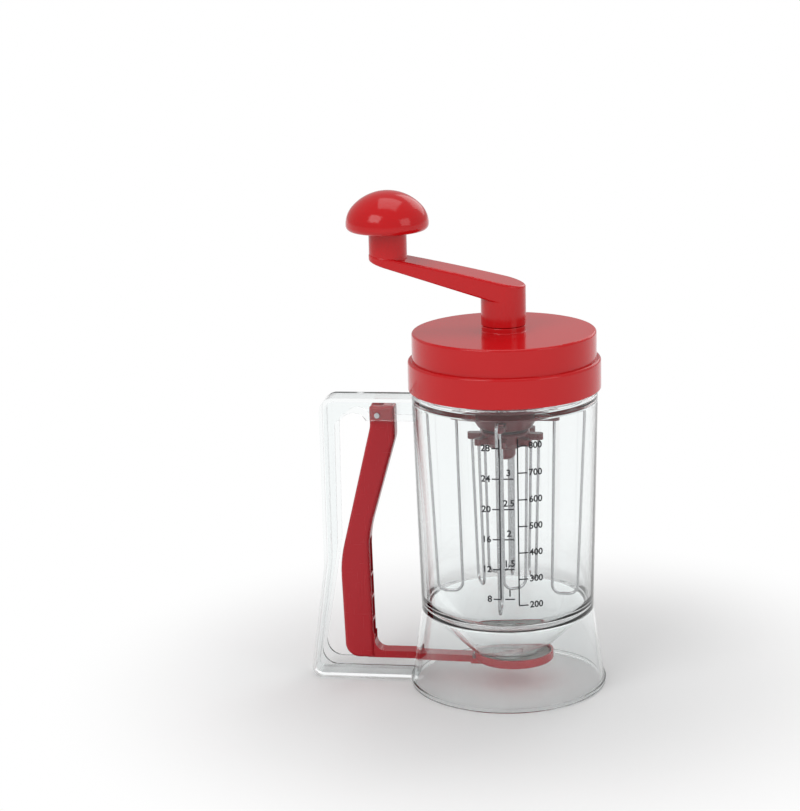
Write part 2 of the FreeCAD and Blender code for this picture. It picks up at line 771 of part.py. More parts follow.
def make_crank_arm():
    width = 2 * HUB_R + 2
    slope = (ARM_UNDER_POST_Z - ARM_UNDER_HUB_Z) / (CRANK_REACH + ARM_END_R - HUB_R)
    under_left = Vector(-CRANK_REACH - ARM_END_R - 1, 0, ARM_UNDER_POST_Z + slope)
    under_right = Vector(HUB_R + 1, 0, ARM_UNDER_HUB_Z - slope * (2 * HUB_R + 1))
    arm = link(HUB_R, ARM_END_R, CRANK_REACH, 0, POST_TOP_Z).common(arm_side([under_left, under_right], width))
    rims = []
    for edge in arm.Edges:
        if edge.BoundBox.XLength > ARM_END_R / 2:
            rims.append(edge)
    arm = arm.makeFillet(ARM_EDGE, rims)
    hub = disc(HUB_R, hub_low_z, ARM_UNDER_HUB_Z - slope * HUB_R + 2)
    post = disc(POST_R, ARM_UNDER_HUB_Z, POST_TOP_Z, -CRANK_REACH)
    below = slab([
        (under_left.x, under_left.z + ARM_EDGE, 0),
        (under_right.x, under_right.z + ARM_EDGE, 0),
        (under_right.x, hub_low_z, 0),
        (under_left.x, hub_low_z, 0),
    ], width)
    crank = arm.fuse([hub, post.cut(below)])
    pin_room = disc(KNOB_PIN_R, POST_TOP_Z - KNOB_PIN_DEPTH, POST_TOP_Z + 1, -CRANK_REACH)
    return crank.cut(pin_room).cut(make_drive_shaft())


def make_knob_pin():
    pin = turned([
        (0, POST_TOP_Z - KNOB_PIN_DEPTH, 0),
        (KNOB_PIN_R, POST_TOP_Z - KNOB_PIN_DEPTH, 0.5),
        (KNOB_PIN_R, knob_low_z + KNOB_PIN_RISE + PART_GAP, 0),
        (KNOB_SCREW_HEAD_R, knob_low_z + KNOB_PIN_RISE + PART_GAP, 0),
        (KNOB_SCREW_HEAD_R, knob_low_z + KNOB_PIN_RISE + PART_GAP + KNOB_SCREW_HEAD, 0.8),
        (0, knob_low_z + KNOB_PIN_RISE + PART_GAP + KNOB_SCREW_HEAD, 0),
    ])
    pin.translate(Vector(-CRANK_REACH, 0, 0))
    return pin


def dome(inset, base_z):
    """A closed dome: a short lip, a side arc and a wider top arc, each tangent to the next."""
    radius = KNOB_R - inset
    side_r = KNOB_SIDE_R - inset
    crown = KNOB_HEIGHT - KNOB_LIP - inset
    run = radius - side_r
    top_r = (run ** 2 + crown ** 2 - side_r ** 2) / (2 * (crown - side_r))
    turn = math.atan2(top_r - crown, run)
    side_z = base_z + KNOB_LIP

    def on_side(angle):
        return Vector(run + side_r * math.cos(angle), 0, side_z + side_r * math.sin(angle))

    def on_top(angle):
        return Vector(top_r * math.cos(angle), 0, side_z + crown - top_r + top_r * math.sin(angle))

    side = Vector(radius, 0, side_z)
    meet = on_side(turn)
    top = Vector(0, 0, side_z + crown)
    rim = Vector(radius - KNOB_LIP * 0.75, 0, base_z)
    rim_middle = Vector(radius - KNOB_LIP * 0.15, 0, base_z + KNOB_LIP * 0.4)
    edges = [
        Part.Arc(side, on_side(turn / 2), meet).toShape(),
        Part.Arc(meet, on_top((turn + math.pi / 2) / 2), top).toShape(),
        Part.LineSegment(top, Vector(0, 0, base_z)).toShape(),
        Part.LineSegment(Vector(0, 0, base_z), rim).toShape(),
        Part.Arc(rim, rim_middle, side).toShape(),
    ]
    return Part.Face(Part.Wire(edges)).revolve(Vector(0, 0, 0), UP, 360)


def make_crank_knob():
    """A dome that is hollow from below, with a stem round the pin and a pocket for the pin's head."""
    stem_top = knob_low_z + KNOB_PIN_RISE
    hollow = dome(KNOB_WALL, knob_low_z)
    hollow = hollow.common(disc(KNOB_R, knob_low_z - 1, stem_top - KNOB_WALL))
    hollow = hollow.cut(disc(KNOB_STEM_R, knob_low_z - 1, stem_top))
    head_room = disc(KNOB_SCREW_HEAD_R + PART_GAP, stem_top, stem_top + KNOB_SCREW_HEAD + 2 * PART_GAP)
    bore = disc(KNOB_PIN_R + RUNNING_FIT, knob_low_z - 1, stem_top + PART_GAP)
    knob = dome(0, knob_low_z).cut(hollow).cut(head_room).cut(bore)
    knob.translate(Vector(-CRANK_REACH, 0, 0))
    return knob


# Whisks


def outer_loop():
    """One wire: out of the hub, down the jug's wall, back under and up into the hub's tab."""
    points = [
        Vector(BOWL_LOW_R, 0, OUTER_WIRE_TOP_Z),
        Vector(OUTER_WIRE_TOP_R, 0, OUTER_WIRE_TOP_Z),
        Vector(OUTER_WIRE_LOW_R, 0, WHISK_LOW_Z),
        Vector(RETURN_WIRE_LOW_R, 0, WHISK_LOW_Z),
        Vector(RETURN_WIRE_TOP_R, 0, TAB_Z + TAB_THICKNESS),
    ]
    return bent_wire(points, WIRE_R, WIRE_BEND_R)


def make_outer_whisk_wires():
    loop = outer_loop()
    return Part.Compound([around(loop, 360 / OUTER_LOOPS * number) for number in range(OUTER_LOOPS)])


def make_outer_whisk_hub():
    sleeve_r = RING_TUBE_R + SLEEVE_WALL
    sleeve_top = lid_floor_z - 4 - PART_GAP
    hub = turned([
        (RING_TUBE_R, sleeve_top, 0),
        (sleeve_r, sleeve_top, 0.5),
        (sleeve_r, BOWL_TOP_Z, 1.0),
        (BOWL_R, BOWL_TOP_Z, 1.5),
        (BOWL_R, BOWL_TOP_Z - 4.5, 3.0),
        (BOWL_LOW_R, BOWL_LOW_Z, 1.2),
        (BOWL_LOW_R - BOWL_WALL, BOWL_LOW_Z, 0),
        (BOWL_LOW_R - BOWL_WALL, tube_low_z - 0.5, 0),
        (RING_TUBE_R, tube_low_z - 0.5, 0),
    ])
    tabs = []
    for number in range(OUTER_LOOPS):
        tab = link(TAB_HALF_WIDTH, TAB_HALF_WIDTH - 0.4, RETURN_WIRE_TOP_R, TAB_Z, TAB_Z + TAB_THICKNESS)
        knuckle = disc(2.2, TAB_Z + TAB_THICKNESS, TAB_Z + TAB_THICKNESS + 1.6, -RETURN_WIRE_TOP_R)
        tab = tab.fuse(knuckle)
        tab = tab.cut(disc(BOWL_LOW_R - BOWL_WALL / 2, TAB_Z - 1, TAB_Z + TAB_THICKNESS + 1))
        tabs.append(around(tab, 360 / OUTER_LOOPS * number))
    hub = hub.fuse(tabs).removeSplitter()
    return hub.cut(make_outer_whisk_wires())


def inner_loop(first):
    """One wire of the inner whisk: down one leg, across and up the next leg."""
    points = []
    step = 2 * math.pi / INNER_LEGS
    legs = (
        (first, INNER_WIRE_TOP_R, STAR_TAB_Z + STAR_TAB_THICKNESS),
        (first, INNER_WIRE_LOW_R, INNER_WHISK_LOW_Z),
        (first + 1, INNER_WIRE_LOW_R, INNER_WHISK_LOW_Z),
        (first + 1, INNER_WIRE_TOP_R, STAR_TAB_Z + STAR_TAB_THICKNESS),
    )
    for leg, radius, height in legs:
        points.append(Vector(radius * math.cos(leg * step), radius * math.sin(leg * step), height))
    return bent_wire(points, WIRE_R, WIRE_BEND_R)


def make_inner_whisk_wires():
    return Part.Compound([inner_loop(first) for first in range(0, INNER_LEGS, 2)])


def make_inner_whisk_hub():
    hub = turned([
        (0, STAR_LOW_Z, 0),
        (STAR_LOW_R, STAR_LOW_Z, 1.0),
        (STAR_R, STAR_TAB_Z, 1.5),
        (STAR_R, STAR_TOP_Z, 1.5),
        (0, STAR_TOP_Z, 0),
    ])
    tabs = []
    for number in range(INNER_LEGS):
        tab = link(
            STAR_TAB_HALF_WIDTH,
            STAR_TAB_HALF_WIDTH - 0.3,
            INNER_WIRE_TOP_R,
            STAR_TAB_Z,
            STAR_TAB_Z + STAR_TAB_THICKNESS,
        )
        tabs.append(around(tab, 360 / INNER_LEGS * number))
    hub = hub.fuse(tabs).removeSplitter()
    return hub.cut(make_drive_shaft()).cut(make_inner_whisk_wires())


def make_whisk_nut():
    nut = turned([
        (0, STAR_LOW_Z - NUT_HEIGHT, 0),
        (NUT_R, STAR_LOW_Z - NUT_HEIGHT, 3.0),
        (NUT_R, STAR_LOW_Z, 0.4),
        (0, STAR_LOW_Z, 0),
    ])
    return nut.cut(make_drive_shaft())


# Every piece under its own name

save(make_jug_shell(), "jug_shell")
save(make_base_skirt(), "base_skirt")
save(make_handle_frame(), "handle_frame")
save(make_pivot_pin(), "lever_pivot_pin")
save(make_lever(), "dispensing_lever")
save(make_lever_spring(), "lever_spring")
save(make_valve_cup(), "valve_cup")
save(make_valve_seal(), "valve_seal")
save(make_lid_base(), "lid_base")
save(make_lid_gasket(), "lid_gasket")
save(make_lid_screws(), "lid_screws")
save(make_gear_cover(), "gear_cover")
save(make_crank_bush(), "crank_bush")
save(make_sun_gear(), "sun_gear")
for planet_number in range(PLANETS):
    save(make_planet_gear(planet_number), "planet_gear_" + str(planet_number + 1))
save(make_ring_gear(), "ring_gear")
save(make_drive_shaft(), "drive_shaft")
save(make_crank_arm(), "crank_arm")
save(make_knob_pin(), "knob_pin")
save(make_crank_knob(), "crank_knob")
save(make_outer_whisk_hub(), "outer_whisk_hub")
save(make_outer_whisk_wires(), "outer_whisk_wires")
save(make_inner_whisk_hub(), "inner_whisk_hub")
save(make_inner_whisk_wires(), "inner_whisk_wires")
save(make_whisk_nut(), "whisk_nut")
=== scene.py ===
"""Looks of a hand-cranked pancake batter dispenser, laid out as an add-on and run as a script."""

import math

import bmesh
import bpy
import numpy as np
from bpy.props import FloatProperty, FloatVectorProperty, IntProperty, PointerProperty
from mathutils import Matrix, Vector


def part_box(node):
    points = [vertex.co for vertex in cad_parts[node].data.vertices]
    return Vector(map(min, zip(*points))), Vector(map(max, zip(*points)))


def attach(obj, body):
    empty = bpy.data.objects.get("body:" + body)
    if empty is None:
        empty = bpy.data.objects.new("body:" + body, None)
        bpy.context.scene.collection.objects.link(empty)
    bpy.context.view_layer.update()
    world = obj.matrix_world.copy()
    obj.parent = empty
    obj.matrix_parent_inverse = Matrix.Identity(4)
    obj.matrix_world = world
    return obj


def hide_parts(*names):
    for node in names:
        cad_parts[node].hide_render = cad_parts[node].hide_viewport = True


bl_info = {
    "name": "Batter dispenser looks",
    "version": (1, 0, 0),
    "blender": (4, 5, 0),
    "location": "View3D > Sidebar > Dispenser",
    "description": "Builds the visible surfaces of a hand-cranked pancake batter dispenser",
    "category": "Object",
}

MM = 0.001
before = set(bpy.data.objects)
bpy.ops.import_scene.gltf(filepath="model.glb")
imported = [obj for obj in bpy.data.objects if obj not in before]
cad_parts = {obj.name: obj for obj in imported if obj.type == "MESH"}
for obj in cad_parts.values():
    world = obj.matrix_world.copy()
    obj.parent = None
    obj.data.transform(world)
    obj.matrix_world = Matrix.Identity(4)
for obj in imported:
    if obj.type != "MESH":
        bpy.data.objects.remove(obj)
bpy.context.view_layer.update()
jug_low, jug_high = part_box("jug_shell")
skirt_low, skirt_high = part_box("base_skirt")
lid_low, lid_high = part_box("lid_base")


def length(name, description, default):
    """A size in metres that shows in the sidebar."""
    return FloatProperty(name=name, description=description, default=default, min=0.0, unit="LENGTH", precision=5)


def colour(name, description, default):
    """A linear colour with a swatch in the sidebar."""
    return FloatVectorProperty(
        name=name, description=description, default=default, min=0.0, max=1.0, size=3, subtype="COLOR"
    )


# Sizes and colours that a user would change


class DispenserJugSettings(bpy.types.PropertyGroup):
    """Sizes of the clear jug and of the thread on its neck."""

    top_radius: length("Top radius", "Outside of the jug at its shoulder", jug_high.x)
    low_radius: length("Low radius", "Outside of the jug above its base", 47.6 * MM)
    wall: length("Wall", "Thickness of the clear wall", 2.2 * MM)
    skirt_wall: length("Skirt wall", "Thickness of the base that the funnel meets", 2.0 * MM)
    shoulder_height: length("Shoulder height", "Height where the neck steps in", 166.0 * MM)
    neck_step: length("Neck step", "How far the neck steps in", 2.3 * MM)
    neck_height: length("Neck height", "Height of the neck's top edge", jug_high.z)
    funnel_top: length("Funnel top", "Height where the funnel starts", 44.0 * MM)
    funnel_low: length("Funnel foot", "Height of the funnel's flat end", 19.0 * MM)
    funnel_radius: length("Funnel end radius", "Outside of the funnel at its flat end", 19.5 * MM)
    spout_radius: length("Spout radius", "Outside of the short spout", 8.0 * MM)
    spout_bore: length("Spout bore", "Radius of the outlet", 3.5 * MM)
    rim_bead: length("Rim bead", "How far the bottom rim stands out of the base", 0.9 * MM)
    bead_height: length("Bead height", "Height of the bottom rim", 2.6 * MM)
    slot_width: length("Slot width", "Width of the slot for the lever's arm", 14.0 * MM)
    slot_low: length("Slot foot", "Height where the slot starts", 8.0 * MM)
    slot_high: length("Slot top", "Height where the slot ends", 17.9 * MM)
    thread_height: length("Thread height", "How far the thread stands out of the neck", 1.0 * MM)
    thread_width: length("Thread width", "Width of one thread ridge", 2.2 * MM)
    thread_pitch: length("Thread pitch", "Rise of the thread in one turn", 9.0 * MM)
    thread_starts: IntProperty(name="Thread starts", description="Separate thread ridges", default=3, min=1, max=6)
    thread_lift: length("Thread lift", "Height of the thread above the shoulder", 3.0 * MM)
    lid_wall: length("Lid wall", "Thickness of the lid's side", 1.8 * MM)
    lid_thread_height: length("Lid thread height", "How far the thread stands into the lid", 0.9 * MM)
    lid_thread_lift: length("Lid thread lift", "Height of the thread above the lid's edge", 2.0 * MM)
    tint: colour("Tint", "Colour that the clear plastic passes", (0.955, 0.972, 0.972))


class DispenserScaleSettings(bpy.types.PropertyGroup):
    """Places of the raised volume scale on the jug."""

    azimuth: FloatProperty(
        name="Azimuth", description="Turn of the scale from the front towards the right", default=math.radians(7.8),
        subtype="ANGLE",
    )
    right_line: length("Right line", "Distance of the millilitre line from the scale's middle", 4.9 * MM)
    left_line: length("Left line", "Distance of the ounce line from the scale's middle", 4.8 * MM)
    first_millilitres: length("First millilitre mark", "Height of the lowest millilitre mark", 59.0 * MM)
    millilitre_step: length("Millilitre step", "Height between two millilitre marks", 14.75 * MM)
    first_ounces: length("First ounce mark", "Height of the lowest ounce mark", 62.7 * MM)
    ounce_step: length("Ounce step", "Height between two ounce marks", 16.74 * MM)
    digit_height: length("Digit height", "Height of the numbers", 3.6 * MM)
    line_width: length("Line width", "Width of the printed lines", 0.7 * MM)
    relief: length("Relief", "How far the print stands out", 0.06 * MM)
    ink: colour("Ink", "Colour of the print", (0.012, 0.013, 0.016))


class DispenserWireSettings(bpy.types.PropertyGroup):
    """Sizes of the whisk wires."""

    wire_radius: length("Wire radius", "Half of the wire's thickness", 0.8 * MM)
    bend_radius: length("Bend radius", "Radius of the wire's bends", 5.0 * MM)
    outer_top_radius: length("Outer top radius", "Where an outer loop turns down", 43.7 * MM)
    outer_low_radius: length("Outer low radius", "Where an outer loop turns back inwards", 39.0 * MM)
    outer_top: length("Outer top", "Height where an outer loop leaves its holder", 158.0 * MM)
    outer_low: length("Outer foot", "Height of the outer loops' low ends", 50.0 * MM)
    return_top_radius: length("Return top radius", "Where an outer loop ends under the holder's tab", 27.0 * MM)
    return_low_radius: length("Return low radius", "Where an outer loop turns up again", 25.0 * MM)
    return_top: length("Return top", "Height of an outer loop's end in the tab", 152.0 * MM)
    holder_radius: length("Holder radius", "Where an outer loop starts inside its holder", 15.0 * MM)
    inner_top_radius: length("Inner top radius", "Distance of the inner legs from the axis at their top", 18.5 * MM)
    inner_low_radius: length("Inner low radius", "Distance of the inner legs from the axis at their foot", 16.0 * MM)
    inner_top: length("Inner top", "Height of the inner legs' ends in their holder", 141.4 * MM)
    inner_low: length("Inner foot", "Height of the inner loops' low ends", 57.0 * MM)
    outer_count: IntProperty(name="Outer loops", description="Loops of the outer whisk", default=4, min=1, max=8)
    inner_legs: IntProperty(name="Inner legs", description="Legs of the inner whisk", default=8, min=2, max=16)


class DispenserColourSettings(bpy.types.PropertyGroup):
    """Colours of the moulded plastics and of the metal."""

    red: colour("Red", "Lid, drum, crank and knob", (0.62, 0.006, 0.009))
    crimson: colour("Crimson", "Dispensing lever and valve", (0.46, 0.005, 0.014))
    holder: colour("Holder", "Holders of the whisk wires", (0.15, 0.004, 0.010))
    gear: colour("Gear", "Gears and shaft bush", (0.80, 0.78, 0.72))
    steel: colour("Steel", "Wires, shaft, screws and pin", (0.48, 0.48, 0.49))
    rubber: colour("Rubber", "Gasket and valve seal", (0.52, 0.50, 0.47))


class DispenserStageSettings(bpy.types.PropertyGroup):
    """Place of the camera and level of the light."""

    azimuth: FloatProperty(
        name="Azimuth", description="Turn of the camera from the front towards the right", default=math.radians(9.0),
        subtype="ANGLE",
    )
    elevation: FloatProperty(
        name="Elevation", description="Height of the camera as an angle", default=math.radians(14.0), subtype="ANGLE"
    )
    roll: FloatProperty(
        name="Roll", description="Tilt of the camera about its view line", default=math.radians(-1.5), subtype="ANGLE"
    )
    distance: length("Distance", "Camera to the point that it looks at", 1.2)
    target_x: FloatProperty(
        name="Target X", description="Point that the camera looks at", default=-0.0576, unit="LENGTH"
    )
    target_z: FloatProperty(
        name="Target Z", description="Point that the camera looks at", default=0.1564, unit="LENGTH"
    )
    focal_in_widths: FloatProperty(
        name="Focal length in picture widths", description="Focal length as a share of the picture's width",
        default=2193.0 / 800.0, min=0.1,
    )
    light: FloatProperty(name="Light", description="Strength of the soft lamps", default=1.0, min=0.0)


# Shapes


def unit(vector):
    """The vector scaled to length 1."""
    return vector / np.linalg.norm(vector)


def fillet(before, here, after, radius, steps):
    """Points of the arc that rounds one corner.

    The arc's centre lies on the corner's bisector at radius / sin(half angle), and its points turn
    evenly from one tangent point to the other: (sin((1-t)w) start + sin(t w) end) / sin(w).
    """
    if radius == 0:
        return here[None]
    back, ahead = unit(before - here), unit(after - here)
    half = math.acos(np.clip(back @ ahead, -1, 1)) / 2
    centre = here + unit(back + ahead) * radius / math.sin(half)
    start = here + back * radius / math.tan(half) - centre
    end = here + ahead * radius / math.tan(half) - centre
    turn = math.pi - 2 * half
    t = np.linspace(0, 1, steps + 1)[:, None]
    return centre + (np.sin((1 - t) * turn) * start + np.sin(t * turn) * end) / math.sin(turn)


def rounded_loop(corners, steps=8):
    """A closed outline through (r, z, radius) corners, each rounded by its tangent arc."""
    rows = np.array(corners, float)
    places, radii = rows[:, :2], rows[:, 2]
    befores, afters = np.roll(places, 1, 0), np.roll(places, -1, 0)
    arcs = [fillet(b, h, a, r, steps) for b, h, a, r in zip(befores, places, afters, radii)]
    return np.concatenate(arcs)


def rounded_path(corners, radius, steps=10):
    """An open line through 3-D corners, each inner one rounded by a tangent arc of one radius."""
    rows = np.array(corners, float)
    arcs = [fillet(b, h, a, radius, steps) for b, h, a in zip(rows, rows[1:], rows[2:])]
    return np.concatenate([rows[:1], *arcs, rows[-1:]])


def grid_faces(rows, columns, close_rows):
    """Quads of a grid whose columns always wrap round, and whose rows wrap if asked."""
    i = np.arange(rows if close_rows else rows - 1)[:, None]
    j = np.arange(columns)[None, :]
    right, above = (j + 1) % columns, (i + 1) % rows
    quads = np.stack([i * columns + j, i * columns + right, above * columns + right, above * columns + j], -1)
    return quads.reshape(-1, 4)


def mesh_from(name, points, faces, sharp_angle=35.0):
    """A smooth mesh with doubled points merged and its faces pointing outwards."""
    mesh = bpy.data.meshes.new(name)
    mesh.from_pydata(points.reshape(-1, 3).tolist(), [], [list(face) for face in faces])
    work = bmesh.new()
    work.from_mesh(mesh)
    bmesh.ops.remove_doubles(work, verts=work.verts, dist=1e-6)
    bmesh.ops.recalc_face_normals(work, faces=work.faces)
    work.to_mesh(mesh)
    work.free()
    mesh.shade_smooth()
    mesh.set_sharp_from_angle(angle=math.radians(sharp_angle))
    return mesh


def lathe(name, profile, segments=192):
    """A surface of revolution: P(i, a) = (r_i cos a, r_i sin a, z_i) for each outline point i."""
    angle = np.linspace(0, 2 * np.pi, segments, endpoint=False)
    radius, height = profile[:, :1], profile[:, 1:]
    points = np.stack([radius * np.cos(angle), radius * np.sin(angle), height + 0 * angle], -1)
    return mesh_from(name, points, grid_faces(len(profile), segments, True))


def wire_grid(path, normal, radius, sides=14):
    """Points of a round wire along a flat path.

    P(s, b) = path(s) + radius (cos b N + sin b (T x N)), where N is the path's plane normal.
    """
    tangent = np.gradient(path, axis=0)
    tangent /= np.linalg.norm(tangent, axis=1)[:, None]
    side = np.cross(tangent, normal)
    b = np.linspace(0, 2 * np.pi, sides, endpoint=False)[None, :, None]
    return path[:, None] + radius * (np.cos(b) * normal + np.sin(b) * side[:, None])


def wires(name, paths, radius, sides=14):
    """One mesh of separate round wires, each closed at both ends."""
    points, faces, start = [], [], 0
    for path, normal in paths:
        grid = wire_grid(path, normal, radius, sides)
        count = len(path)
        points.append(grid.reshape(-1, 3))
        faces += (grid_faces(count, sides, False) + start).tolist()
        faces.append([start + k for k in reversed(range(sides))])
        faces.append([start + (count - 1) * sides + k for k in range(sides)])
        start += count * sides
    return mesh_from(name, np.concatenate(points), faces, 60.0)


RIDGE_STEPS = 72
RIDGE_SIDES = 16


def ridge(name, base_radius, rise, width, pitch, low, starts, turn):
    """Screw-thread ridges: r = base + rise e(a) max(cos b, -0.05), z = low + pitch a / 2 pi + width/2 sin b.

    The ends taper by e(a), which climbs from 0 to 1 over the first and last 12 degrees.
    """
    a = np.linspace(0, turn, RIDGE_STEPS)[:, None]
    b = np.linspace(0, 2 * np.pi, RIDGE_SIDES, endpoint=False)[None]
    taper = np.clip(np.minimum(a, turn - a) / math.radians(12), 0.02, 1)
    radius = base_radius + rise * taper * np.maximum(np.cos(b), -0.05)
    height = low + pitch * a / (2 * np.pi) + width / 2 * taper * np.sin(b)
    points, faces = [], []
    for number in range(starts):
        angle = a + 2 * np.pi * number / starts
        points.append(np.stack([radius * np.cos(angle), radius * np.sin(angle), height], -1).reshape(-1, 3))
        first = number * RIDGE_STEPS * RIDGE_SIDES
        faces += (grid_faces(RIDGE_STEPS, RIDGE_SIDES, False) + first).tolist()
        faces.append([first + k for k in reversed(range(RIDGE_SIDES))])
        faces.append([first + (RIDGE_STEPS - 1) * RIDGE_SIDES + k for k in range(RIDGE_SIDES)])
    return mesh_from(name, np.concatenate(points), faces, 60.0)


def merged_copy(node, name, sharp_angle=30.0):
    """A copy of a CAD node's mesh with its loose triangles joined, ready for a bevel."""
    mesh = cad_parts[node].data.copy()
    mesh.name = name
    if "custom_normal" in mesh.attributes:
        mesh.attributes.remove(mesh.attributes["custom_normal"])
    work = bmesh.new()
    work.from_mesh(mesh)
    bmesh.ops.remove_doubles(work, verts=work.verts, dist=2e-6)
    bmesh.ops.dissolve_limit(work, angle_limit=math.radians(0.5), verts=work.verts, edges=work.edges)
    work.to_mesh(mesh)
    work.free()
    mesh.materials.clear()
    mesh.shade_smooth()
    mesh.set_sharp_from_angle(angle=math.radians(sharp_angle))
    return mesh


def piece(mesh, material, body, slot, *nodes):
    """Puts a finished mesh in the scene at the origin, on its body, in place of its CAD nodes."""
    obj = bpy.data.objects.new(mesh.name, mesh)
    bpy.context.scene.collection.objects.link(obj)
    mesh.materials.append(material)
    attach(obj, body)
    if nodes:
        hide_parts(*nodes)
    return obj


def soften(obj, width, angle=50.0):
    """A small rounding on the sharp edges, as a moulded piece has."""
    bevel = obj.modifiers.new("Moulded edges", "BEVEL")
    bevel.width = width
    bevel.segments = 2
    bevel.limit_method = "ANGLE"
    bevel.angle_limit = math.radians(angle)
    bevel.harden_normals = True


def dress(material, *nodes):
    """Gives CAD nodes their material."""
    for node in nodes:
        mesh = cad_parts[node].data
        mesh.materials.clear()
        mesh.materials.append(material)


# Shared effects


def new_group(name, inputs, outputs):
    """An empty shader node group with named sockets."""
    group = bpy.data.node_groups.new(name, "ShaderNodeTree")
    for label, kind, default in inputs:
        socket = group.interface.new_socket(name=label, in_out="INPUT", socket_type=kind)
        socket.default_value = default
    for label, kind in outputs:
        group.interface.new_socket(name=label, in_out="OUTPUT", socket_type=kind)
    start = group.nodes.new("NodeGroupInput")
    end = group.nodes.new("NodeGroupOutput")
    return group, start, end


def add_node(tree, kind, **settings):
    """A node with its properties and, by socket name or number, its input values."""
    node = tree.nodes.new(kind)
    for key, value in settings.items():
        if key == "values":
            for socket, number in value.items():
                node.inputs[socket].default_value = number
        else:
            setattr(node, key, value)
    return node


def moulded_skin():
    """Slow colour drift, uneven gloss and fine flow relief of a moulded plastic."""
    found = bpy.data.node_groups.get("Moulded skin")
    if found:
        return found
    group, start, end = new_group(
        "Moulded skin",
        [
            ("Colour", "NodeSocketColor", (0.5, 0.5, 0.5, 1)),
            ("Drift", "NodeSocketFloat", 0.06),
            ("Roughness", "NodeSocketFloat", 0.2),
            ("Uneven gloss", "NodeSocketFloat", 0.06),
            ("Flow scale", "NodeSocketFloat", 45.0),
        ],
        [("Colour", "NodeSocketColor"), ("Roughness", "NodeSocketFloat"), ("Relief", "NodeSocketFloat")],
    )
    link = group.links.new
    place = add_node(group, "ShaderNodeTexCoord")
    slow = add_node(group, "ShaderNodeTexNoise", values={"Scale": 28.0, "Detail": 3.0, "Roughness": 0.55})
    flow = add_node(group, "ShaderNodeTexNoise", values={"Detail": 4.0, "Roughness": 0.6, "Distortion": 0.4})
    link(place.outputs["Object"], slow.inputs["Vector"])
    link(place.outputs["Object"], flow.inputs["Vector"])
    link(start.outputs["Flow scale"], flow.inputs["Scale"])
    centred = add_node(group, "ShaderNodeMath", operation="SUBTRACT", values={1: 0.5})
    link(slow.outputs["Fac"], centred.inputs[0])
    swing = add_node(group, "ShaderNodeMath", operation="MULTIPLY_ADD", values={2: 1.0})
    link(centred.outputs[0], swing.inputs[0])
    link(start.outputs["Drift"], swing.inputs[1])
    tone = add_node(group, "ShaderNodeHueSaturation")
    link(start.outputs["Colour"], tone.inputs["Color"])
    link(swing.outputs[0], tone.inputs["Value"])
    gloss = add_node(group, "ShaderNodeMath", operation="MULTIPLY_ADD")
    link(flow.outputs["Fac"], gloss.inputs[0])
    link(start.outputs["Uneven gloss"], gloss.inputs[1])
    link(start.outputs["Roughness"], gloss.inputs[2])
    link(tone.outputs["Color"], end.inputs["Colour"])
    link(gloss.outputs[0], end.inputs["Roughness"])
    link(flow.outputs["Fac"], end.inputs["Relief"])
    return group


def hairlines():
    """Thin handling scratches in two directions, as a mask from 0 to 1."""
    found = bpy.data.node_groups.get("Hairlines")
    if found:
        return found
    group, start, end = new_group(
        "Hairlines",
        [("Density", "NodeSocketFloat", 90.0), ("Amount", "NodeSocketFloat", 0.5)],
        [("Mask", "NodeSocketFloat")],
    )
    link = group.links.new
    place = add_node(group, "ShaderNodeTexCoord")
    masks = []
    for turn, stretch in ((0.5, (1, 0.06, 0.06)), (2.1, (0.06, 0.06, 1))):
        aim = add_node(group, "ShaderNodeMapping")
        aim.inputs["Rotation"].default_value = (0.3, turn, 0.9 * turn)
        aim.inputs["Scale"].default_value = stretch
        link(place.outputs["Object"], aim.inputs["Vector"])
        lines = add_node(group, "ShaderNodeTexNoise", values={"Detail": 2.0})
        link(aim.outputs["Vector"], lines.inputs["Vector"])
        dense = add_node(group, "ShaderNodeMath", operation="MULTIPLY", values={1: 14.0})
        link(start.outputs["Density"], dense.inputs[0])
        link(dense.outputs[0], lines.inputs["Scale"])
        thin = add_node(
            group, "ShaderNodeMapRange", values={"From Min": 0.66, "From Max": 0.72, "To Min": 0.0, "To Max": 1.0}
        )
        link(lines.outputs["Fac"], thin.inputs["Value"])
        masks.append(thin)
    both = add_node(group, "ShaderNodeMath", operation="MAXIMUM")
    link(masks[0].outputs["Result"], both.inputs[0])
    link(masks[1].outputs["Result"], both.inputs[1])
    level = add_node(group, "ShaderNodeMath", operation="MULTIPLY")
    link(both.outputs[0], level.inputs[0])
    link(start.outputs["Amount"], level.inputs[1])
    link(level.outputs[0], end.inputs["Mask"])
    return group


# Finishes


